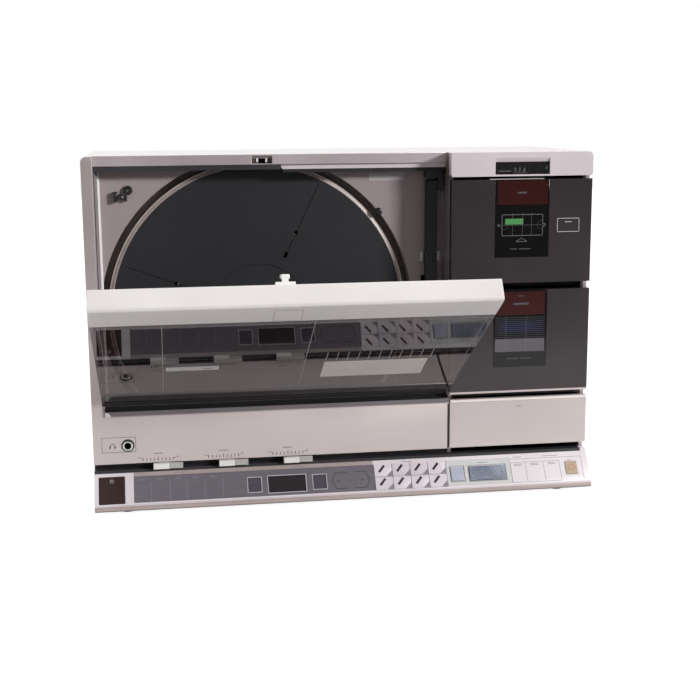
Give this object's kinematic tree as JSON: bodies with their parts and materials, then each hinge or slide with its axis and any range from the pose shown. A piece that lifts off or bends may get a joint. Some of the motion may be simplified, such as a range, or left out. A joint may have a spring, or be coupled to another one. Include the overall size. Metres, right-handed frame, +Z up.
{
  "type": "vertical turntable stereo system",
  "caption": "Upright stereo with a vertical record platter behind a fold-down smoked lid, a cassette door and storage bin at the right, and a sloped key panel.",
  "frame": {"origin": "on the table, below the middle of the cabinet's front face", "axes": "+X to the right along the front, +Y from the front to the rear, +Z up"},
  "size_m": [0.512, 0.4056, 0.353],
  "materials": {
    "hardboard": "dark grey lacquered hardboard",
    "champagne_paint": "satin champagne-silver paint on moulded plastic",
    "pale_paint": "pale silver paint on moulded plastic",
    "black_plastic": "matte black moulded plastic",
    "warm_grey_plastic": "matte warm grey moulded plastic",
    "smoked_acrylic": "clear smoked acrylic",
    "dark_lens": "glossy near-black acrylic",
    "bronze_grey_paint": "satin dark bronze-grey metallic paint on moulded plastic",
    "white_plastic": "satin white moulded plastic",
    "key_plastic": "satin pale grey moulded keys",
    "brown_plastic": "satin dark brown moulded key",
    "blue_grey_plastic": "satin blue-grey moulded bar",
    "beige_plastic": "satin beige moulded key",
    "platter_metal": "turned and lightly brushed die-cast aluminium",
    "mat_rubber": "matte dark grey rubber",
    "black_rubber": "matte black rubber",
    "steel": "bright ground steel",
    "brass": "plain machined brass",
    "board_laminate": "green circuit board laminate with fitted components",
    "transformer_steel": "lacquered laminated steel"
  },
  "bodies": {
    "frame": {"cabinet": "champagne_paint", "rear_cover": "hardboard", "feet": "black_rubber", "front_frame": "champagne_paint", "front_chassis": "black_plastic", "top_strip": "champagne_paint", "deck_plate": "warm_grey_plastic", "control_base": "pale_paint", "display_windows": "dark_lens", "phones_jack": "black_plastic", "tape_fascia": "pale_paint", "counter_window": "dark_lens", "column_chassis": "black_plastic", "tape_mechanism": "steel", "arm_rail": "steel", "rail_cover": "pale_paint", "latch_body": "black_plastic", "platter_bearing": "brass", "drive_motor": "steel", "drive_belt": "black_rubber", "main_board": "board_laminate", "power_transformer": "transformer_steel", "rear_sockets": "black_plastic"},
    "lid": {"lid_bar": "pale_paint", "lid_window": "smoked_acrylic", "lid_hook": "white_plastic", "lid_hinge_rail": "black_plastic"},
    "catch": {"latch_jaws": "white_plastic"},
    "turntable": {"platter": "platter_metal", "platter_mat": "mat_rubber", "spindle": "steel"},
    "pulley": {"motor_pulley": "brass"},
    "carriage": {"arm_carriage": "black_plastic"},
    "arm": {"tonearm": "black_plastic", "cartridge": "warm_grey_plastic"},
    "tape_flap": {"tape_door": "bronze_grey_paint", "tape_window": "dark_lens", "cassette_holder": "black_plastic"},
    "bin": {"storage_bin": "bronze_grey_paint", "storage_window": "dark_lens"},
    "lower_flap": {"flap": "champagne_paint"},
    "counter": {"counter_wheels": "black_plastic"},
    "reset": {"counter_reset": "warm_grey_plastic"},
    "supply": {"supply_hub": "white_plastic"},
    "takeup": {"takeup_hub": "white_plastic"},
    "bass": {"bass_slider": "white_plastic"},
    "treble": {"treble_slider": "white_plastic"},
    "balance": {"balance_slider": "white_plastic"},
    "power": {"power_button": "brown_plastic"},
    "mute": {"mute_button": "blue_grey_plastic"},
    "volume": {"volume_rocker": "blue_grey_plastic"},
    "record": {"record_button": "beige_plastic"},
    "preset_1_key": {"preset_1": "key_plastic"},
    "preset_2_key": {"preset_2": "key_plastic"},
    "preset_3_key": {"preset_3": "key_plastic"},
    "preset_4_key": {"preset_4": "key_plastic"},
    "preset_5_key": {"preset_5": "key_plastic"},
    "preset_6_key": {"preset_6": "key_plastic"},
    "preset_7_key": {"preset_7": "key_plastic"},
    "preset_8_key": {"preset_8": "key_plastic"}
  },
  "joints": [
    {"name": "lid_fold", "type": "hinge", "parent": "frame", "child": "lid", "pos_m": [-0.256, 0.004, 0.1115], "axis": [1, 0, 0], "range_deg": [-58.3, 0]},
    {"name": "catch_push", "type": "slide", "parent": "frame", "child": "catch", "axis": [0, 1, 0], "range_m": [0, 0.003], "stiffness_N_per_m": 300},
    {"name": "platter_spin", "type": "hinge", "parent": "frame", "child": "turntable", "pos_m": [-0.084, 0.038, 0.192], "axis": [0, 1, 0], "continuous": true},
    {"name": "pulley_spin", "type": "hinge", "parent": "frame", "child": "pulley", "pos_m": [0.0022, 0.038, 0.11438], "axis": [0, 1, 0], "continuous": true},
    {"name": "arm_track", "type": "slide", "parent": "frame", "child": "carriage", "axis": [-1, 0, 0], "range_m": [0, 0.118]},
    {"name": "arm_lower", "type": "hinge", "parent": "carriage", "child": "arm", "pos_m": [0.094, 0.031, 0.3215], "axis": [1, 0, 0], "range_deg": [0, 1.6]},
    {"name": "tape_door_tilt", "type": "hinge", "parent": "frame", "child": "tape_flap", "pos_m": [0.182, 0.014, 0.22725], "axis": [1, 0, 0], "range_deg": [0, 22]},
    {"name": "storage_tilt", "type": "hinge", "parent": "frame", "child": "bin", "pos_m": [0.182, 0.014, 0.1145], "axis": [1, 0, 0], "range_deg": [0, 30]},
    {"name": "flap_fold", "type": "hinge", "parent": "frame", "child": "lower_flap", "pos_m": [0.182, 0.0056, 0.0522], "axis": [1, 0, 0], "range_deg": [0, 88]},
    {"name": "counter_turn", "type": "hinge", "parent": "frame", "child": "counter", "pos_m": [0.181, 0.012, 0.3368], "axis": [1, 0, 0], "continuous": true},
    {"name": "reset_push", "type": "slide", "parent": "frame", "child": "reset", "axis": [0, 1, 0], "range_m": [0, 0.0015], "stiffness_N_per_m": 300},
    {"name": "supply_turn", "type": "hinge", "parent": "frame", "child": "supply", "pos_m": [0.16075, 0.0365, 0.27725], "axis": [0, 1, 0], "continuous": true},
    {"name": "takeup_turn", "type": "hinge", "parent": "frame", "child": "takeup", "pos_m": [0.20325, 0.0365, 0.27725], "axis": [0, 1, 0], "continuous": true},
    {"name": "bass_slide", "type": "slide", "parent": "frame", "child": "bass", "axis": [1, 0, 0], "range_m": [-0.015, 0.015]},
    {"name": "treble_slide", "type": "slide", "parent": "frame", "child": "treble", "axis": [1, 0, 0], "range_m": [-0.015, 0.015]},
    {"name": "balance_slide", "type": "slide", "parent": "frame", "child": "balance", "axis": [1, 0, 0], "range_m": [-0.015, 0.015]},
    {"name": "power_push", "type": "slide", "parent": "frame", "child": "power", "axis": [0, 0.8033, -0.5956], "range_m": [0, 0.0012], "stiffness_N_per_m": 300},
    {"name": "mute_push", "type": "slide", "parent": "frame", "child": "mute", "axis": [0, 0.8033, -0.5956], "range_m": [0, 0.0012], "stiffness_N_per_m": 300},
    {"name": "record_push", "type": "slide", "parent": "frame", "child": "record", "axis": [0, 0.8033, -0.5956], "range_m": [0, 0.0012], "stiffness_N_per_m": 300},
    {"name": "volume_rock", "type": "hinge", "parent": "frame", "child": "volume", "pos_m": [0.146, -0.0092, 0.02069], "axis": [0, 0.5956, 0.8033], "range_deg": [-2.5, 2.5], "stiffness_Nm_per_rad": 0.2},
    {"name": "preset_1_push", "type": "slide", "parent": "frame", "child": "preset_1_key", "axis": [0, 0.8033, -0.5956], "range_m": [0, 0.0012], "stiffness_N_per_m": 300},
    {"name": "preset_2_push", "type": "slide", "parent": "frame", "child": "preset_2_key", "axis": [0, 0.8033, -0.5956], "range_m": [0, 0.0012], "stiffness_N_per_m": 300},
    {"name": "preset_3_push", "type": "slide", "parent": "frame", "child": "preset_3_key", "axis": [0, 0.8033, -0.5956], "range_m": [0, 0.0012], "stiffness_N_per_m": 300},
    {"name": "preset_4_push", "type": "slide", "parent": "frame", "child": "preset_4_key", "axis": [0, 0.8033, -0.5956], "range_m": [0, 0.0012], "stiffness_N_per_m": 300},
    {"name": "preset_5_push", "type": "slide", "parent": "frame", "child": "preset_5_key", "axis": [0, 0.8033, -0.5956], "range_m": [0, 0.0012], "stiffness_N_per_m": 300},
    {"name": "preset_6_push", "type": "slide", "parent": "frame", "child": "preset_6_key", "axis": [0, 0.8033, -0.5956], "range_m": [0, 0.0012], "stiffness_N_per_m": 300},
    {"name": "preset_7_push", "type": "slide", "parent": "frame", "child": "preset_7_key", "axis": [0, 0.8033, -0.5956], "range_m": [0, 0.0012], "stiffness_N_per_m": 300},
    {"name": "preset_8_push", "type": "slide", "parent": "frame", "child": "preset_8_key", "axis": [0, 0.8033, -0.5956], "range_m": [0, 0.0012], "stiffness_N_per_m": 300}
  ],
  "couplings": [
    {"joint": "pulley_spin", "follows": "platter_spin", "ratio": 13.538}
  ]
}
